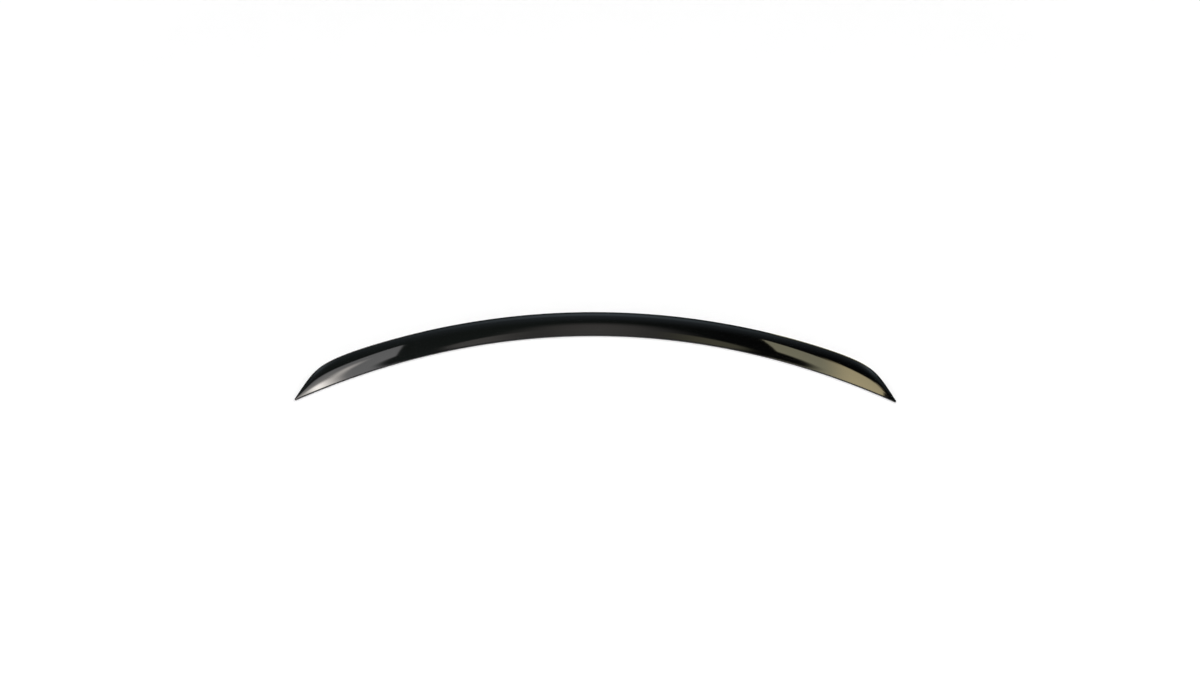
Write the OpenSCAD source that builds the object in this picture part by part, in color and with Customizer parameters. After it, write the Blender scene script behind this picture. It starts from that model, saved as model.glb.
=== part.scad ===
// Boot-lid lip spoiler: a slim crescent, moulded in one piece, that is bonded along the
// rear edge of a saloon's boot lid. A low deck rises from a thin leading edge and sweeps
// up to a lip along the back, and both ends taper to a point. The underside has flat
// bonding flanges round a row of pockets with ribs between them.
// X runs across the car, Y to the rear and Z up from the boot lid. The origin is on the
// bonding plane, on the centre line of the car, in the middle of the front flange.

/* [Plan shape] */
// Length of the leading edge from tip to tip, across the car
tip_span = 1200; // [1000:10:1400]
// How far the tips sweep forward of the middle of the leading edge
sweep = 175.5; // [120:0.5:220]
// Share of the sweep that follows a fourth power, which bends the ends more
end_bend = 0.06; // [0:0.02:0.3]
// Chord from the leading edge back to the lip, over the middle
chord = 51; // [44:1:70]
// How much wider a section gets from the middle to the tips, as a share of the chord,
// where the taper of the tips leaves it as wide as that
chord_gain = 0.04; // [0:0.01:0.1]
// Chord that a section gains for each millimetre that it lies inward of the tip
tip_taper = 0.78; // [0.6:0.02:1.2]
// Width of each tip, which is rounded like the end of a pen
tip_chord = 3; // [2:0.1:5]

/* [Section] */
// Height of the lip above the boot lid, over the middle
lip_height = 20; // [17:0.5:26]
// Height of the leading edge above the boot lid
edge_height = 3; // [2.6:0.1:4]
// Radius along the top of the leading edge
edge_radius = 1.2; // [0.4:0.1:1.8]
// Angle at which the deck rises from the leading edge, in degrees
deck_angle = 5; // [3:0.5:12]
// Where the deck starts to turn up, back from the leading edge and over the middle
turn_up_start = 4; // [0:0.5:24]
// Angle at which the top skin reaches the lip, in degrees
lip_angle = 48; // [40:1:60]
// Radius of the lip's nose over the middle
nose_radius = 1.8; // [1:0.1:2.5]
// Lean of the rear face just under the lip, in degrees
lean_under_lip = 28; // [10:1:35]
// Lean of the rear face where it meets the boot lid, in degrees
lean_at_foot = 5; // [0:1:9]

/* [Moulded underside] */
// Thickness of the top skin over the pockets
wall = 2.5; // [2:0.1:3]
// Width of the bonding flange along the leading edge
front_flange = 13; // [11:0.5:16]
// Width of the bonding flange along the foot of the rear face
rear_flange = 7.5; // [6.5:0.5:9]
// Material between the top of a pocket and a line straight up from the foot
lip_root = 1.5; // [1:0.1:3]
// Height of the blunt top of a pocket, under the lip
pocket_top = 1.6; // [1:0.1:2.5]
// Longest pocket between two ribs, along the car's X axis
rib_pitch = 75; // [50:5:120]
// Thickness of each rib
rib_thickness = 2; // [1.5:0.1:3]
// How far the ribs stop short of the bonding plane
rib_recess = 1; // [0.3:0.1:1.2]
// How far the ends and the front of a pocket lean in from its mouth to its roof
pocket_draft = 0.5; // [0.2:0.1:1]
// Narrowest pocket that is moulded towards the tips
least_pocket = 9; // [6:0.5:10]

/* [Hidden] */

pocket_steps = 2; // spans from end to end of a pocket
end_steps = 10; // sections from the last pocket out to a tip
tip_steps = 3; // sections round the end of a tip
last_tip_angle = 60; // where the rounding of a tip ends in a narrow flat
edge_steps = 4;
turn_up_steps = 12;
nose_steps = 8;
rear_steps = 4;
roof_steps = 6;

shoulder = (tip_span - tip_chord) / 2; // where the rounding of a tip starts
deck_slope = tan(deck_angle);
lip_slope = tan(lip_angle);
upper_lean = tan(lean_under_lip);
lower_lean = tan(lean_at_foot);

// Leading edge in plan, and the frame of a section that stands square to it there

function lead_y(x) =
    let (t = x / shoulder)
    -front_flange / 2 - sweep * ((1 - end_bend) * t ^ 2 + end_bend * t ^ 4);

function heading(x) =
    let (t = x / shoulder)
    atan(-sweep / shoulder * (2 * (1 - end_bend) * t + 4 * end_bend * t ^ 3));

function place(x, section) =
    let (turn = heading(x))
    [for (p = section) [x - p[0] * sin(turn), lead_y(x) + p[0] * cos(turn), p[1]]];

// Chord of a section: a smooth minimum of a chord that grows outward and the taper of a
// tip. Near a tip, station_of finds where the chord is w.

function chord_at(x) =
    let (
        full = chord * (1 + chord_gain * (x / shoulder) ^ 2),
        taper = tip_chord + tip_taper * (shoulder - abs(x))
    )
    (full ^ -4 + taper ^ -4) ^ (-1 / 4);

function station_of(w) =
    let (taper = (w ^ -4 - (chord * (1 + chord_gain)) ^ -4) ^ (-1 / 4))
    shoulder - (taper - tip_chord) / tip_taper;

// Sizes of a section of chord w, which keeps its form and gets lower towards the tips

function share(w) = w / chord;
function height_of(w) = edge_height + (lip_height - edge_height) * share(w);
function nose_of(w) = nose_radius * sqrt(share(w));
function edge_of(w) = min(edge_radius, w / 6);

// Top skin: the deck's line, and then a power curve that meets the nose squarely

function skin_end(w) =
    let (r = nose_of(w))
    [w - r * (1 + sin(lip_angle)), height_of(w) - r * (1 - cos(lip_angle))];

function skin_start(w) = max(turn_up_start * share(w), 2 * edge_of(w));

function turn_up(w) = skin_end(w)[0] - turn_up_start * share(w);

function turn_up_rise(w) =
    let (end = skin_end(w))
    end[1] - edge_height - deck_slope * end[0];

function turn_up_power(w) = turn_up(w) * (lip_slope - deck_slope) / turn_up_rise(w);

function skin_z(w, u) =
    let (past = max(0, u - turn_up_start * share(w)) / turn_up(w))
    edge_height + deck_slope * u + turn_up_rise(w) * past ^ turn_up_power(w);

function skin_slope(w, u) =
    let (past = max(0, u - turn_up_start * share(w)) / turn_up(w))
    deck_slope + (lip_slope - deck_slope) * past ^ (turn_up_power(w) - 1);

// Rear face: hollow, and steeper towards its foot on the boot lid

function rear_u(w, z) =
    let (
        r = nose_of(w),
        top = height_of(w) - r * (1 + sin(lean_under_lip)),
        q = (top - z) / top
    )
    w - r * (1 - cos(lean_under_lip))
    - top * (upper_lean * q - (upper_lean - lower_lean) * q ^ 2 / 2);

// Outline of a section above the bonding plane, from the foot of the leading edge over
// the top skin and the nose, and down the rear face to its foot

function outline(w) =
    let (
        edge = edge_of(w),
        edge_centre = [edge, edge_height + deck_slope * edge - edge / cos(deck_angle)],
        nose = nose_of(w),
        nose_centre = [w - nose, height_of(w) - nose],
        rear_top = nose_centre[1] - nose * sin(lean_under_lip)
    )
    [
        [0, 0],
        for (i = [0:edge_steps])
            let (a = 180 - (90 - deck_angle) * i / edge_steps)
            edge_centre + edge * [cos(a), sin(a)],
        for (i = [0:turn_up_steps - 1])
            let (u = skin_start(w) + (skin_end(w)[0] - skin_start(w)) * i / turn_up_steps)
            [u, skin_z(w, u)],
        for (i = [0:nose_steps])
            let (a = 90 + lip_angle - (90 + lip_angle + lean_under_lip) * i / nose_steps)
            nose_centre + nose * [cos(a), sin(a)],
        for (i = [1:rear_steps])
            let (z = rear_top * (1 - i / rear_steps))
            [rear_u(w, z), z]
    ];

// Underside of a section, from the rear flange forward. It is solid, or a rib crosses it,
// or a pocket rises to one wall below the top skin, with a blunt top under the lip.
// The flanges get narrower with the section where it is too narrow for a pocket.

solid = 0;
rib = 1;
pocket = 2;

least_foot = front_flange + least_pocket + rear_flange;
narrowest = least_foot + chord - rear_u(chord, 0);

function roof_z(w, u) = skin_z(w, u) - wall * sqrt(1 + skin_slope(w, u) ^ 2);

function underside(w, kind) =
    let (
        foot = rear_u(w, 0),
        narrowing = min(1, foot / least_foot),
        front = front_flange * narrowing,
        back = foot - rear_flange * narrowing,
        near = front + pocket_draft * narrowing,
        far = back - pocket_draft * narrowing,
        roof_end = foot - lip_root,
        flat_z = kind == rib ? rib_recess : 0
    )
    [
        [back, 0],
        if (kind == pocket) [roof_end, roof_z(w, roof_end) - pocket_top],
        if (kind == pocket)
            for (i = [roof_steps:-1:0])
                let (u = near + (roof_end - near) * i / roof_steps)
                [u, roof_z(w, u)],
        if (kind != pocket)
            for (i = [roof_steps + 1:-1:0])
                [near + (far - near) * i / (roof_steps + 1), flat_z],
        [front, 0]
    ];

function section(w, kind) = concat(outline(w), underside(w, kind));

// The narrowest section, squeezed about its middle by the rounding of a tip

function rounded_tip(a) =
    let (middle = tip_chord / 2)
    [for (p = section(tip_chord, solid)) [middle + (p[0] - middle) * cos(a), p[1]]];

// Stations along the leading edge, each with the kind of underside that it has. The row
// of pockets reaches out to where a section is too narrow for one. The sides of the ribs
// lean, so that each pocket's ends have two stations.

pocket_reach = station_of(narrowest);
pocket_count = ceil(2 * pocket_reach / rib_pitch);
pocket_pitch = 2 * pocket_reach / pocket_count;

function pocket_stations(i) =
    let (
        left = -pocket_reach + i * pocket_pitch,
        right = left + pocket_pitch,
        first = left + rib_thickness / 2 * cos(heading(left)),
        last = right - rib_thickness / 2 * cos(heading(right)),
        start = first + pocket_draft,
        end = last - pocket_draft
    )
    [
        [first, i == 0 ? solid : rib],
        for (j = [0:pocket_steps]) [start + (end - start) * j / pocket_steps, pocket],
        [last, i == pocket_count - 1 ? solid : rib]
    ];

function end_station(i) =
    pocket_reach + (shoulder - pocket_reach) * sin(90 * i / end_steps);

stations = [
    for (i = [end_steps:-1:1]) [-end_station(i), solid],
    for (i = [0:pocket_count - 1]) each pocket_stations(i),
    for (i = [1:end_steps]) [end_station(i), solid]
];

// Solid through a row of rings that all have the same number of points

module loft(rings) {
    n = len(rings[0]);
    last = len(rings) - 1;
    polyhedron(
        points = [for (ring = rings) each ring],
        faces = [
            for (j = [0:last - 1], i = [0:n - 1])
                let (k = (i + 1) % n, a = j * n, b = a + n)
                each [[a + i, b + k, b + i], [a + i, a + k, b + k]],
            [for (i = [n - 1:-1:0]) i],
            [for (i = [0:n - 1]) last * n + i]
        ]
    );
}

module spoiler() {
    function tip(side, step) =
        let (a = last_tip_angle * step / tip_steps)
        place(side * (shoulder + tip_chord / 2 * sin(a)), rounded_tip(a));
    color([0.02, 0.02, 0.022])
        loft([
            for (i = [tip_steps:-1:1]) tip(-1, i),
            for (s = stations) place(s[0], section(chord_at(s[0]), s[1])),
            for (i = [1:tip_steps]) tip(1, i)
        ]);
}

spoiler();
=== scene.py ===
import bpy
import numpy as np
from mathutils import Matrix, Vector


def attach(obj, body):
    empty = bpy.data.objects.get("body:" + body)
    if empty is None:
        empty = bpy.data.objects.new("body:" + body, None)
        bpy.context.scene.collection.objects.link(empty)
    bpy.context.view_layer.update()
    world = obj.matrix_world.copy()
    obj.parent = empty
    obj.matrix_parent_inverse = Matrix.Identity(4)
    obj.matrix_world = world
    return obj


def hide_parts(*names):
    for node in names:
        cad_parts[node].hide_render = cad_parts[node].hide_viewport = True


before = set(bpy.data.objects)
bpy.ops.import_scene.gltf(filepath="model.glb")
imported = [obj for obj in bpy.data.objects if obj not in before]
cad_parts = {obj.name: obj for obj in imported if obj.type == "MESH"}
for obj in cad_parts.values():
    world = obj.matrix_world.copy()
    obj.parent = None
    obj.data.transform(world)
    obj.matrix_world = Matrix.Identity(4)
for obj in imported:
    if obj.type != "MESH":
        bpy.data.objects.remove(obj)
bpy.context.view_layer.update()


# The moulding. The real spoiler is one piece of gloss-black plastic: a low deck that sweeps
# up to a lip, and two pointed ends. It is moulded in one shot, with pockets and ribs under
# the skin and flat flanges round them, and is bonded to the boot lid by those flanges.

MM = 0.001
tip_span = 1200 * MM
sweep = 175.5 * MM
end_bend = 0.06
chord = 51 * MM
chord_gain = 0.04
tip_taper = 0.78
tip_chord = 3 * MM
lip_height = 20 * MM
edge_height = 3 * MM
edge_radius = 1.2 * MM
deck_angle = np.radians(5)
turn_up_start = 4 * MM
lip_angle = np.radians(48)
nose_radius = 1.8 * MM
lean_under_lip = np.radians(28)
lean_at_foot = np.radians(5)
wall = 2.5 * MM
front_flange = 13 * MM
rear_flange = 7.5 * MM
lip_root = 1.5 * MM
pocket_top = 1.6 * MM
rib_pitch = 75 * MM
rib_thickness = 2 * MM
rib_recess = 1 * MM
rib_root = 1.3 * MM
pocket_draft = 0.5 * MM
least_pocket = 9 * MM
sharp_corner = 0.25 * MM
foot_corner = 0.35 * MM
pocket_corner = 0.8 * MM

shoulder = (tip_span - tip_chord) / 2
deck_slope = np.tan(deck_angle)
lip_slope = np.tan(lip_angle)
upper_lean = np.tan(lean_under_lip)
lower_lean = np.tan(lean_at_foot)


def leading_edge(x):
    """Leading edge in plan: it falls forward by the square and the fourth power of x."""
    t = x / shoulder
    return -front_flange / 2 - sweep * ((1 - end_bend) * t**2 + end_bend * t**4)


def heading(x):
    """Angle that the leading edge makes with the x axis, from the slope of its curve."""
    t = x / shoulder
    return np.arctan(-sweep / shoulder * (2 * (1 - end_bend) * t + 4 * end_bend * t**3))


def chord_at(x):
    """Chord of the section at x: a smooth minimum of a chord that grows outward by the
    square of x, and a tip's taper."""
    full = chord * (1 + chord_gain * (x / shoulder) ** 2)
    taper = tip_chord + tip_taper * (shoulder - np.abs(x))
    return (full**-4 + taper**-4) ** -0.25


def height_of(w):
    """Height of a section of chord w: the edge's height, and a rise that goes with w."""
    return edge_height + (lip_height - edge_height) * w / chord


def nose_of(w):
    """Radius of the lip's nose: it goes with the square root of the chord w."""
    return nose_radius * np.sqrt(w / chord)


def edge_of(w):
    """Radius along the leading edge, which is no more than a sixth of the chord w."""
    return np.minimum(edge_radius, w / 6)


def skin_end(w):
    """Where the top skin meets the nose's circle, at the lip's angle: (u, z)."""
    r = nose_of(w)
    return w - r * (1 + np.sin(lip_angle)), height_of(w) - r * (1 - np.cos(lip_angle))


def top_skin(w, u):
    """Height and slope of the top skin at u: the deck's line, and past the start of the
    turn-up a power curve that reaches the nose at the lip's height and angle."""
    end_u, end_z = skin_end(w)
    start = turn_up_start * w / chord
    rise = end_z - edge_height - deck_slope * end_u
    power = (end_u - start) * (lip_slope - deck_slope) / rise
    past = np.maximum(0, u - start) / (end_u - start)
    z = edge_height + deck_slope * u + rise * past**power
    return z, deck_slope + (lip_slope - deck_slope) * past ** (power - 1)


def rear_face(w, z):
    """The rear face's u at height z: a parabola between its leans at the lip and the foot."""
    r = nose_of(w)
    top = height_of(w) - r * (1 + np.sin(lean_under_lip))
    q = (top - z) / top
    drop = top * (upper_lean * q - (upper_lean - lower_lean) * q**2 / 2)
    return w - r * (1 - np.cos(lean_under_lip)) - drop


def arc(centre_u, centre_z, radius, start, end, steps):
    """Points on a circle of the section, from angle start to angle end in even steps."""
    a = np.linspace(start, end, steps)
    return centre_u + radius * np.cos(a), centre_z + radius * np.sin(a)


def bend(before, corner, after, reach, steps):
    """A rounded corner: a quadratic curve from a point that lies reach before the corner
    to one that lies reach after it, with a guard point just outside each of its ends."""
    b, c, a = (np.stack(np.broadcast_arrays(*p), -1) for p in (before, corner, after))
    back = (b - c) / np.linalg.norm(b - c, axis=-1, keepdims=True) * reach
    on = (a - c) / np.linalg.norm(a - c, axis=-1, keepdims=True) * reach
    t = np.linspace(0, 1, steps)[:, None]
    curve = c + back * (1 - t) ** 2 + on * t**2
    points = np.concatenate([c + 1.3 * back, curve, c + 1.3 * on], 1)
    return points[..., 0], points[..., 1]


def outline(w):
    """Section above the bonding plane, from the foot of the leading edge over the edge's
    arc, the top skin and the nose's arc, and down the rear face to its foot."""
    edge, nose = edge_of(w), nose_of(w)
    edge_z = edge_height + deck_slope * edge - edge / np.cos(deck_angle)
    foot = rear_face(w, 0.0)
    corner = np.minimum(foot_corner, w / 20)[..., None]
    front_foot = bend((w / 4, 0 * w), (0 * w, 0 * w), (0 * w, edge_z), corner, 5)
    guard = (0 * w, edge_z - 0.1 * edge)
    edge_arc = arc(edge, edge_z, edge, np.pi, np.pi / 2 + deck_angle, 12)
    first = edge * (1 + np.sin(deck_angle)) * 1.1
    t = 1 - (1 - np.linspace(0, 1, 52)[:-1]) ** 1.25
    u = first + (skin_end(w)[0] - first) * t
    skin = (u, top_skin(w, u)[0])
    nose_u, nose_z = w - nose, height_of(w) - nose
    nose_arc = arc(nose_u, nose_z, nose, np.pi / 2 + lip_angle, -lean_under_lip, 30)
    top = nose_z - nose * np.sin(lean_under_lip)
    z = top + (0.05 * top - top) * np.linspace(0, 1, 17)[1:]
    rear = (rear_face(w, z), z)
    low = corner[..., 0] * 2
    rear_foot = bend((rear_face(w, low), low), (foot, 0 * w), (foot / 2, 0 * w), corner, 5)
    parts = [front_foot, guard, edge_arc, skin, nose_arc, rear, rear_foot]
    return [np.concatenate([part[k] for part in parts], 1) for k in (0, 1)]


def pocket_profile(w, back, front):
    """Section of a pocket: up the wall from the rear flange, over the blunt top under the
    lip, along a roof that lies one wall below the top skin, and down to the front flange."""
    roof_end = rear_face(w, 0.0) - lip_root
    near = front + pocket_draft

    def roof(u):
        z, slope = top_skin(w, u)
        return z - wall * np.sqrt(1 + slope**2)

    top, low_top = (roof_end, roof(roof_end)), (roof_end, roof(roof_end) - pocket_top)
    mouth, front_top, front_mouth = (back, 0 * w), (near, roof(near)), (front, 0 * w)
    inner_end = roof_end - 2 * pocket_corner
    inner_near = near + 2 * pocket_corner
    u = inner_end + (inner_near - inner_end) * np.linspace(0, 1, 18)
    parts = [
        bend((back + wall, 0 * w), mouth, low_top, sharp_corner, 4),
        bend(mouth, low_top, top, pocket_corner, 4),
        bend(low_top, top, (inner_end, roof(inner_end)), pocket_corner / 2, 4),
        (u, roof(u)),
        bend((inner_near, roof(inner_near)), front_top, front_mouth, pocket_corner / 2, 4),
        bend(front_top, front_mouth, (front - wall, 0 * w), sharp_corner, 4),
    ]
    return [np.concatenate([part[k] for part in parts], 1) for k in (0, 1)]


def underside(w, depth, recess):
    """Section between the flanges: the pocket's profile where depth is 1, and where it is
    0 a flat that lies recess above the bonding plane, at the foot of a rib or an end."""
    foot = rear_face(w, 0.0)
    narrowing = np.minimum(1, foot / (front_flange + least_pocket + rear_flange))
    front, back = front_flange * narrowing, foot - rear_flange * narrowing
    deep_u, deep_z = pocket_profile(np.maximum(w, narrowest), back, front)
    share = (1 - np.cos(np.pi * np.linspace(0, 1, deep_u.shape[1]))) / 2
    flat_u = back + (front - back) * share
    flat_z = recess * np.clip((back - flat_u) / pocket_draft, 0, 1)
    flat_z = flat_z * np.clip((flat_u - front) / pocket_draft, 0, 1)
    return flat_u + (deep_u - flat_u) * depth, flat_z + (deep_z - flat_z) * depth


narrowest = front_flange + least_pocket + rear_flange + chord - rear_face(chord, 0.0)
reach_taper = (narrowest**-4 - (chord * (1 + chord_gain)) ** -4) ** -0.25
pocket_reach = shoulder - (reach_taper - tip_chord) / tip_taper
pocket_count = int(np.ceil(2 * pocket_reach / rib_pitch))
ribs = np.linspace(-pocket_reach, pocket_reach, pocket_count + 1)

# Stations along the leading edge, closest beside the ribs and round the tips.
beside_rib = np.array([0.02, 0.07, 0.14, 0.24, 0.38, 0.6, 1]) * rib_root
beside_rib = np.concatenate([[0], beside_rib]) + rib_thickness / 2
along_pocket = np.linspace(0, 1, 12)[1:-1] * (ribs[1] - ribs[0])
end_steps = np.sin(np.linspace(0, np.pi / 2, 44)[1:])
ends = pocket_reach + (shoulder - pocket_reach) * end_steps
across_ribs = (ribs[:, None] + np.concatenate([-beside_rib, beside_rib])).ravel()
in_pockets = (ribs[:-1, None] + along_pocket).ravel()
x = np.unique(np.concatenate([-ends, ends, across_ribs, in_pockets]))[:, None]

# Depth of the pockets: none within a rib, then a round root out to the pocket's roof.
nearest = np.abs(x - ribs).argmin(1)
half_rib = rib_thickness / 2 * np.cos(heading(ribs[nearest][:, None]))
beside = np.clip((np.abs(x - ribs[nearest][:, None]) - half_rib) / rib_root, 0, 1)
depth = (1 - (1 - beside) ** 3) ** (1 / 3)
depth[np.abs(x) >= pocket_reach] = 0
inner = (nearest > 0) & (nearest < len(ribs) - 1)
recess = np.where(inner[:, None] & (np.abs(x) < pocket_reach), rib_recess, 0)

w = chord_at(x)
upper_u, upper_z = outline(w)
under_u, under_z = underside(w, depth, recess)
u = np.concatenate([upper_u, under_u], 1)
z = np.concatenate([upper_z, under_z], 1)

# Round each tip like the end of a pen: the last section is squeezed about its middle.
tip_turn = np.radians(np.linspace(0, 88, 12)[1:])[:, None]
squeezed = tip_chord / 2 + (u[:1] - tip_chord / 2) * np.cos(tip_turn)
tip_x = shoulder + tip_chord / 2 * np.sin(tip_turn)
x = np.concatenate([-tip_x[::-1], x, tip_x])
u = np.concatenate([squeezed[::-1], u, squeezed])
z = np.concatenate([np.repeat(z[:1], len(tip_x), 0), z, np.repeat(z[-1:], len(tip_x), 0)])

turn = heading(x)
rings = np.stack([x - u * np.sin(turn), leading_edge(x) + u * np.cos(turn), z], -1)
last, around = rings.shape[0] - 1, rings.shape[1]
j, i = np.meshgrid(np.arange(last), np.arange(around), indexing="ij")
k = (i + 1) % around
quads = np.stack([j * around + i, (j + 1) * around + i, (j + 1) * around + k, j * around + k], -1)
first_end, last_end = rings.shape[0] * around, rings.shape[0] * around + 1
rim, rim_on = np.arange(around), (np.arange(around) + 1) % around
left_fan = np.stack([rim, rim_on, np.full(around, first_end)], -1)
right_fan = np.stack([rim_on + last * around, rim + last * around, np.full(around, last_end)], -1)
points = np.concatenate([rings.reshape(-1, 3), rings[[0, -1]].mean(1)])
faces = quads.reshape(-1, 4).tolist() + left_fan.tolist() + right_fan.tolist()

mesh = bpy.data.meshes.new("spoiler_moulding")
mesh.from_pydata(points.tolist(), [], faces)
mesh.polygons.foreach_set("use_smooth", np.ones(len(faces), bool))
gloss_side = np.arange(around) < upper_u.shape[1] - 3
satin = np.concatenate([np.tile(~gloss_side, last), np.zeros(2 * around, bool)])
mesh.polygons.foreach_set("material_index", satin.astype(np.int32))
moulding = bpy.data.objects.new("spoiler_moulding", mesh)
bpy.context.scene.collection.objects.link(moulding)


def moulded_finish():
    """Shader group for a moulded face: its fine waviness as a height in metres, and its
    roughness, which varies a little in broad soft patches."""
    group = bpy.data.node_groups.new("moulded_finish", "ShaderNodeTree")
    sockets = group.interface
    sockets.new_socket("Vector", in_out="INPUT", socket_type="NodeSocketVector")
    for name in ("Wave Scale", "Wave Height", "Roughness", "Roughness Spread"):
        sockets.new_socket(name, in_out="INPUT", socket_type="NodeSocketFloat")
    for name in ("Height", "Roughness"):
        sockets.new_socket(name, in_out="OUTPUT", socket_type="NodeSocketFloat")
    nodes, links = group.nodes, group.links
    inputs = nodes.new("NodeGroupInput")
    outputs = nodes.new("NodeGroupOutput")
    wave = nodes.new("ShaderNodeTexNoise")
    wave.inputs["Detail"].default_value = 1
    height = nodes.new("ShaderNodeMath")
    height.operation = "MULTIPLY"
    patches = nodes.new("ShaderNodeTexNoise")
    patches.inputs["Scale"].default_value = 14
    patches.inputs["Detail"].default_value = 4
    centred = nodes.new("ShaderNodeMath")
    centred.operation = "SUBTRACT"
    centred.inputs[1].default_value = 0.5
    spread = nodes.new("ShaderNodeMath")
    spread.operation = "MULTIPLY_ADD"
    links.new(inputs.outputs["Vector"], wave.inputs["Vector"])
    links.new(inputs.outputs["Wave Scale"], wave.inputs["Scale"])
    links.new(wave.outputs["Fac"], height.inputs[0])
    links.new(inputs.outputs["Wave Height"], height.inputs[1])
    links.new(inputs.outputs["Vector"], patches.inputs["Vector"])
    links.new(patches.outputs["Fac"], centred.inputs[0])
    links.new(centred.outputs[0], spread.inputs[0])
    links.new(inputs.outputs["Roughness Spread"], spread.inputs[1])
    links.new(inputs.outputs["Roughness"], spread.inputs[2])
    links.new(height.outputs[0], outputs.inputs["Height"])
    links.new(spread.outputs[0], outputs.inputs["Roughness"])
    return group


def moulded_material(name, colour, wave_scale, wave_height, roughness, roughness_spread):
    """One moulded finish: black plastic with its own waviness and roughness."""
    material = bpy.data.materials.new(name)
    material.use_nodes = True
    nodes, links = material.node_tree.nodes, material.node_tree.links
    shader = nodes["Principled BSDF"]
    shader.inputs["Base Color"].default_value = (*colour, 1)
    shader.inputs["IOR"].default_value = 1.5
    coordinates = nodes.new("ShaderNodeTexCoord")
    finish = nodes.new("ShaderNodeGroup")
    finish.node_tree = finish_group
    finish.inputs["Wave Scale"].default_value = wave_scale
    finish.inputs["Wave Height"].default_value = wave_height
    finish.inputs["Roughness"].default_value = roughness
    finish.inputs["Roughness Spread"].default_value = roughness_spread
    bump = nodes.new("ShaderNodeBump")
    bump.inputs["Distance"].default_value = 1
    links.new(coordinates.outputs["Object"], finish.inputs["Vector"])
    links.new(finish.outputs["Height"], bump.inputs["Height"])
    links.new(bump.outputs["Normal"], shader.inputs["Normal"])
    links.new(finish.outputs["Roughness"], shader.inputs["Roughness"])
    return material


finish_group = moulded_finish()
mesh.materials.append(moulded_material("piano_black", (0.0012, 0.0012, 0.0013), 110, 1e-6, 0.05, 0.02))
mesh.materials.append(moulded_material("as_moulded", (0.014, 0.014, 0.015), 1800, 1e-5, 0.5, 0.15))

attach(moulding, "root")
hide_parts("spoiler")


# The floor and backdrop. A plain white sheet, flat under the spoiler and turned up all
# round it. It keeps the spoiler's own soft shadow, and is clear from below, where it would
# hide the spoiler. A glow, which grows outward past an even radius, keeps it white.

floor_radius = 5.5
turn_radius = 1.5
backdrop_height = 3.0
paper_colour = 0.9
floor_glow = 0.15
far_glow = 0.6
even_radius = 1.5

turned = np.linspace(0, np.pi / 2, 13)
flat_r = np.linspace(0.5, floor_radius, 9)
turned_r = floor_radius + turn_radius * np.sin(turned[1:])
sheet_r = np.concatenate([flat_r, turned_r, turned_r[-1:]])
sheet_z = np.concatenate([0 * flat_r, turn_radius * (1 - np.cos(turned[1:])), [backdrop_height]])
bearing = np.linspace(0, 2 * np.pi, 97)[:-1, None]
sheet = [sheet_r * np.cos(bearing), sheet_r * np.sin(bearing), sheet_z + 0 * bearing]
sheet = np.stack(sheet, -1)
rows, columns = sheet.shape[:2]
j, i = np.meshgrid(np.arange(rows), np.arange(columns - 1), indexing="ij")
a, b = j * columns + i, (j + 1) % rows * columns + i
sheet_faces = np.stack([a, a + 1, b + 1, b], -1).reshape(-1, 4).tolist()
centre_disc = (np.arange(rows) * columns).tolist()
floor_mesh = bpy.data.meshes.new("floor")
floor_mesh.from_pydata(sheet.reshape(-1, 3).tolist(), [], sheet_faces + [centre_disc])
floor_mesh.polygons.foreach_set("use_smooth", np.ones(len(floor_mesh.polygons), bool))
floor = bpy.data.objects.new("floor", floor_mesh)
bpy.context.scene.collection.objects.link(floor)

paper = bpy.data.materials.new("white_paper")
paper.use_nodes = True
nodes, links = paper.node_tree.nodes, paper.node_tree.links
shader = nodes["Principled BSDF"]
shader.inputs["Base Color"].default_value = (paper_colour, paper_colour, paper_colour, 1)
shader.inputs["Roughness"].default_value = 1
shader.inputs["Specular IOR Level"].default_value = 0
shader.inputs["Emission Color"].default_value = (1, 1, 1, 1)
light_path = nodes.new("ShaderNodeLightPath")
seen = nodes.new("ShaderNodeMath")
seen.operation = "MAXIMUM"
seen_at_all = nodes.new("ShaderNodeMath")
seen_at_all.operation = "MAXIMUM"
glow = nodes.new("ShaderNodeMath")
glow.operation = "MULTIPLY"
place = nodes.new("ShaderNodeTexCoord")
distance = nodes.new("ShaderNodeVectorMath")
distance.operation = "LENGTH"
outward = nodes.new("ShaderNodeMapRange")
outward.inputs["From Min"].default_value = even_radius
outward.inputs["From Max"].default_value = floor_radius
outward.inputs["To Min"].default_value = floor_glow
outward.inputs["To Max"].default_value = far_glow
links.new(place.outputs["Object"], distance.inputs[0])
links.new(distance.outputs["Value"], outward.inputs["Value"])
links.new(outward.outputs["Result"], glow.inputs[1])
links.new(light_path.outputs["Is Camera Ray"], seen.inputs[0])
links.new(light_path.outputs["Is Glossy Ray"], seen.inputs[1])
links.new(seen.outputs[0], seen_at_all.inputs[0])
links.new(light_path.outputs["Is Transmission Ray"], seen_at_all.inputs[1])
links.new(seen_at_all.outputs[0], glow.inputs[0])
links.new(glow.outputs[0], shader.inputs["Emission Strength"])
side = nodes.new("ShaderNodeNewGeometry")
from_below = nodes.new("ShaderNodeBsdfTransparent")
one_sided = nodes.new("ShaderNodeMixShader")
links.new(side.outputs["Backfacing"], one_sided.inputs["Fac"])
links.new(shader.outputs[0], one_sided.inputs[1])
links.new(from_below.outputs[0], one_sided.inputs[2])
links.new(one_sided.outputs[0], nodes["Material Output"].inputs["Surface"])
floor_mesh.materials.append(paper)


# The studio. A white light from all round, strongest from behind, lights the floor and
# the spoiler. What the gloss-black skin mirrors is a dark room with soft panels hung
# level over the spoiler, which only a mirror-like surface sees: a window over each end,
# a warm glow behind, and a cool glow in front. Each fades at its edges.

panel_height = 500 * MM
spacing = 4 * MM


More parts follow.
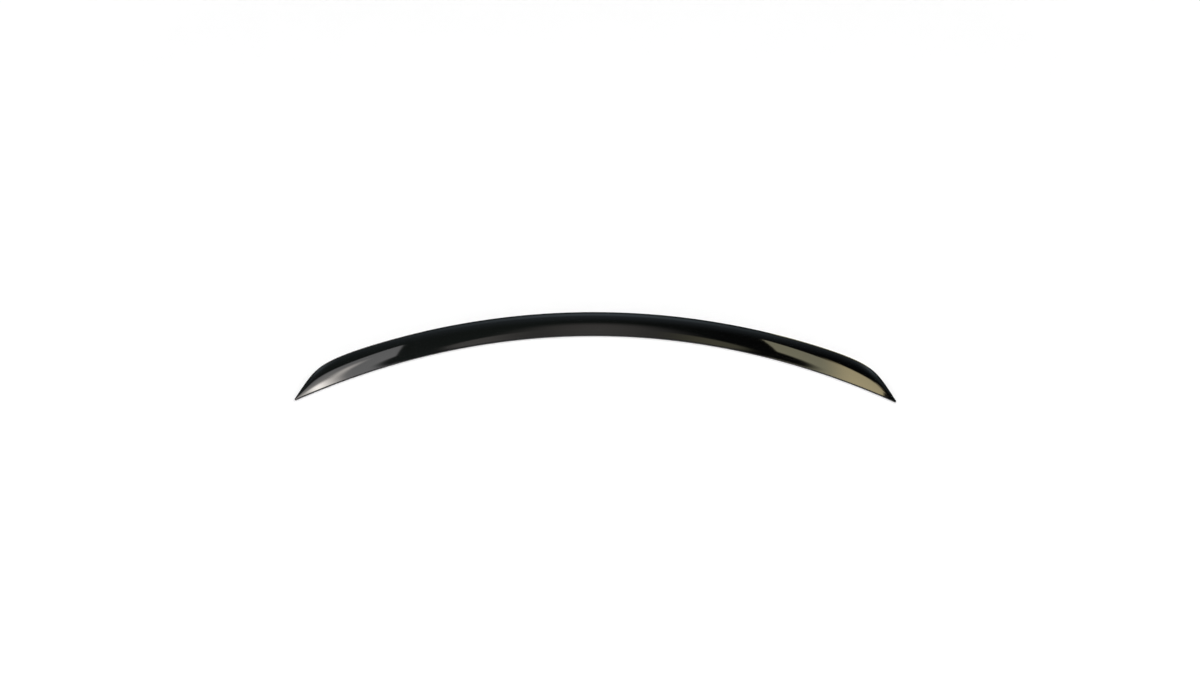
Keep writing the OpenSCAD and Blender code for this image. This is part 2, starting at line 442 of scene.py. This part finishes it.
def light_panel(name, corners, layer, colour, strength, fades):
    """A level panel through four corners in plan, in millimetres, from the front left one
    anticlockwise: a bilinear patch, which lies layer spacings under the panel height. Its
    fades are shares of its own width or length, at its left, right, front and rear."""
    s, t = np.meshgrid(np.linspace(0, 1, 9), np.linspace(0, 1, 9))
    front_left, front_right, rear_right, rear_left = (np.array(c) * MM for c in corners)
    share = np.stack([s, t], -1)
    s, t = s[..., None], t[..., None]
    plan = (front_left * (1 - s) + front_right * s) * (1 - t)
    plan = plan + (rear_left * (1 - s) + rear_right * s) * t
    level = np.full_like(s, panel_height - layer * spacing)
    patch = np.concatenate([plan, level], -1).reshape(-1, 3)
    a = (np.arange(8)[:, None] * 9 + np.arange(8)).ravel()
    patch_faces = np.stack([a, a + 9, a + 10, a + 1], -1)
    panel_mesh = bpy.data.meshes.new(name)
    panel_mesh.from_pydata(patch.tolist(), [], patch_faces.tolist())
    corner_points = np.zeros(len(panel_mesh.loops), np.int32)
    panel_mesh.loops.foreach_get("vertex_index", corner_points)
    across = share.reshape(-1, 2)[corner_points].astype(np.float32)
    panel_mesh.uv_layers.new(name="across").data.foreach_set("uv", across.ravel())
    panel_mesh.materials.append(panel_light(name, colour, strength, fades))
    panel = bpy.data.objects.new(name, panel_mesh)
    bpy.context.scene.collection.objects.link(panel)
    panel.visible_camera = False
    panel.visible_diffuse = False
    panel.visible_shadow = False


def panel_light(name, colour, strength, fades):
    """Light of a panel: plain, and clear where the fades at its four sides take it down."""
    material = bpy.data.materials.new(name)
    material.use_nodes = True
    nodes, links = material.node_tree.nodes, material.node_tree.links
    nodes.clear()
    place = nodes.new("ShaderNodeUVMap")
    split = nodes.new("ShaderNodeSeparateXYZ")
    links.new(place.outputs["UV"], split.inputs["Vector"])
    cover = None
    for axis, side, fade in ((0, 0, fades[0]), (0, 1, fades[1]), (1, 0, fades[2]), (1, 1, fades[3])):
        ramp = nodes.new("ShaderNodeMapRange")
        ramp.interpolation_type = "SMOOTHSTEP"
        ramp.inputs["From Min"].default_value = side
        ramp.inputs["From Max"].default_value = side + fade * (1 - 2 * side)
        links.new(split.outputs[axis], ramp.inputs["Value"])
        if cover is None:
            cover = ramp.outputs["Result"]
            continue
        both = nodes.new("ShaderNodeMath")
        both.operation = "MULTIPLY"
        links.new(cover, both.inputs[0])
        links.new(ramp.outputs["Result"], both.inputs[1])
        cover = both.outputs[0]
    light = nodes.new("ShaderNodeEmission")
    light.inputs["Color"].default_value = (*colour, 1)
    light.inputs["Strength"].default_value = strength
    clear = nodes.new("ShaderNodeBsdfTransparent")
    mix = nodes.new("ShaderNodeMixShader")
    output = nodes.new("ShaderNodeOutputMaterial")
    links.new(cover, mix.inputs["Fac"])
    links.new(clear.outputs[0], mix.inputs[1])
    links.new(light.outputs[0], mix.inputs[2])
    links.new(mix.outputs[0], output.inputs["Surface"])
    return material


# Plan of the set in millimetres, out from the middle of the spoiler. A window's inner edge
# slants outward from front to rear, and the right one stands nearer to the middle.
window_front = -150
window_rear = 200
inner_front = 300
inner_rear = 450
right_shift = 50
outer = 900
outer_rear = 350
glow_reach = 400
wing_front = 250
wing_rear = 400
wing_inner = 100
haze_front = -700
far_rear = 2500

# Shares of a panel's width or length over which a side of it fades
sharp = 0.01
slight = 0.1
soft = 0.5

white = (1.0, 1.0, 1.0)
warm = (1.0, 0.95, 0.9)
olive = (1.0, 0.95, 0.65)
amber = (1.0, 0.85, 0.5)
cool = (0.75, 0.9, 1.0)
greenish = (0.8, 1.0, 0.9)

# A faint fill over all but the right end.
light_panel("fill", [(-600, haze_front), (200, haze_front), (400, 300), (-600, 300)],
            0, greenish, 0.15, (sharp, soft, sharp, sharp))
# A cool glow in front, which the lip mirrors as a line of light, in a wide faint haze.
light_panel("front_haze", [(-glow_reach, haze_front), (glow_reach, haze_front),
                           (glow_reach, 0), (-glow_reach, 0)],
            1, cool, 0.4, (soft, soft, sharp, soft))
light_panel("front_glow", [(-200, -600), (200, -600), (200, -300), (-200, -300)],
            2, cool, 1.2, (soft, soft, soft, soft))
# A warm glow behind, which the deck mirrors as a band along its leading edge.
light_panel("rear_haze", [(-wing_inner, 0), (wing_inner, 0),
                          (glow_reach, wing_rear), (-glow_reach, wing_rear)],
            1, warm, 0.8, (soft, soft, soft, sharp))
light_panel("left_wing", [(-inner_rear, wing_front), (-wing_inner, wing_front),
                          (-wing_inner, wing_rear), (-inner_rear, wing_rear)],
            2, warm, 1.0, (sharp, soft, slight, sharp))
light_panel("right_wing", [(wing_inner, wing_front), (inner_rear, wing_front),
                           (inner_rear, wing_rear), (wing_inner, wing_rear)],
            2, olive, 1.0, (soft, sharp, slight, sharp))
# The left end mirrors a window that gets brighter outward, with a lamp and a streak.
light_panel("left_window", [(-outer, 0), (-inner_front, window_front),
                            (-inner_rear, window_rear), (-outer, outer_rear)],
            3, white, 2.5, (sharp, sharp, slight, slight))
light_panel("left_blaze", [(-outer, 0), (-inner_front - 100, window_front),
                           (-inner_rear - 100, window_rear), (-outer, outer_rear)],
            4, warm, 6, (sharp, soft, slight, slight))
light_panel("left_streak", [(-450, -50), (-400, 0), (-600, 200), (-650, 150)],
            5, warm, 8, (soft, soft, soft, slight))
light_panel("left_lamp", [(-650, 50), (-550, 50), (-600, 200), (-700, 200)],
            6, warm, 20, (soft, soft, soft, soft))
# The right end mirrors an olive-tinted window, brighter outward, with a slanted outer end.
right_end = [(550, 0), (750, 250)]
light_panel("right_window", [(inner_front - right_shift, window_front), *right_end,
                             (inner_rear - right_shift, window_rear)],
            3, olive, 3.5, (sharp, sharp, slight, slight))
light_panel("right_blaze", [(inner_front + right_shift, window_front), *right_end,
                            (inner_rear + right_shift, window_rear)],
            4, amber, 7, (soft, sharp, slight, slight))
# Windows farther back, which the nose of the lip mirrors as a thin bright line.
light_panel("left_rear_window", [(-750, wing_front), (-400, wing_front),
                                 (-900, far_rear), (-2000, far_rear)],
            3, warm, 10, (sharp, sharp, sharp, sharp))
light_panel("right_rear_window", [(400, wing_front), (750, wing_front),
                                  (2000, far_rear), (900, far_rear)],
            3, olive, 10, (sharp, sharp, sharp, sharp))

# How far forward the room's light reaches, its strength from behind, and the dark room's
light_ends_at = -0.67
light_behind = 2.5
dark_room_light = 0.012

room = bpy.data.worlds.new("room")
room.use_nodes = True
nodes, links = room.node_tree.nodes, room.node_tree.links
direction = nodes.new("ShaderNodeTexCoord")
split = nodes.new("ShaderNodeSeparateXYZ")
from_behind = nodes.new("ShaderNodeMapRange")
from_behind.inputs["From Min"].default_value = light_ends_at
from_behind.inputs["From Max"].default_value = 1
from_behind.inputs["To Min"].default_value = 0
from_behind.inputs["To Max"].default_value = light_behind
even_light = nodes["Background"]
even_light.inputs["Color"].default_value = (1, 1, 1, 1)
dark_room = nodes.new("ShaderNodeBackground")
dark_room.inputs["Color"].default_value = (0.9, 1.0, 0.9, 1)
dark_room.inputs["Strength"].default_value = dark_room_light
overhead = nodes.new("ShaderNodeMath")
overhead.operation = "GREATER_THAN"
overhead.inputs[1].default_value = 0
light_path = nodes.new("ShaderNodeLightPath")
in_gloss = nodes.new("ShaderNodeMath")
in_gloss.operation = "MULTIPLY"
mirrored = nodes.new("ShaderNodeMixShader")
links.new(direction.outputs["Generated"], split.inputs["Vector"])
links.new(split.outputs["Y"], from_behind.inputs["Value"])
links.new(from_behind.outputs["Result"], even_light.inputs["Strength"])
links.new(split.outputs["Z"], overhead.inputs[0])
links.new(light_path.outputs["Is Glossy Ray"], in_gloss.inputs[0])
links.new(overhead.outputs[0], in_gloss.inputs[1])
links.new(in_gloss.outputs[0], mirrored.inputs["Fac"])
links.new(even_light.outputs[0], mirrored.inputs[1])
links.new(dark_room.outputs[0], mirrored.inputs[2])
links.new(mirrored.outputs[0], nodes["World Output"].inputs["Surface"])
bpy.context.scene.world = room


# The camera, at the photograph's place: three metres off, a little right of the middle,
# in front of the spoiler and 48 degrees above it.

eye = Vector((17.6 * MM, -2017.6 * MM, 2229.4 * MM))
aim = Vector((8.9 * MM, -10.3 * MM, 0))
camera_data = bpy.data.cameras.new("camera")
camera_data.lens = 43.29
camera_data.sensor_width = 36
camera_data.clip_end = 50
camera = bpy.data.objects.new("camera", camera_data)
camera.location = eye
camera.rotation_euler = (aim - eye).to_track_quat("-Z", "Y").to_euler()
bpy.context.scene.collection.objects.link(camera)
bpy.context.scene.camera = camera
bpy.context.scene.view_settings.view_transform = "Standard"
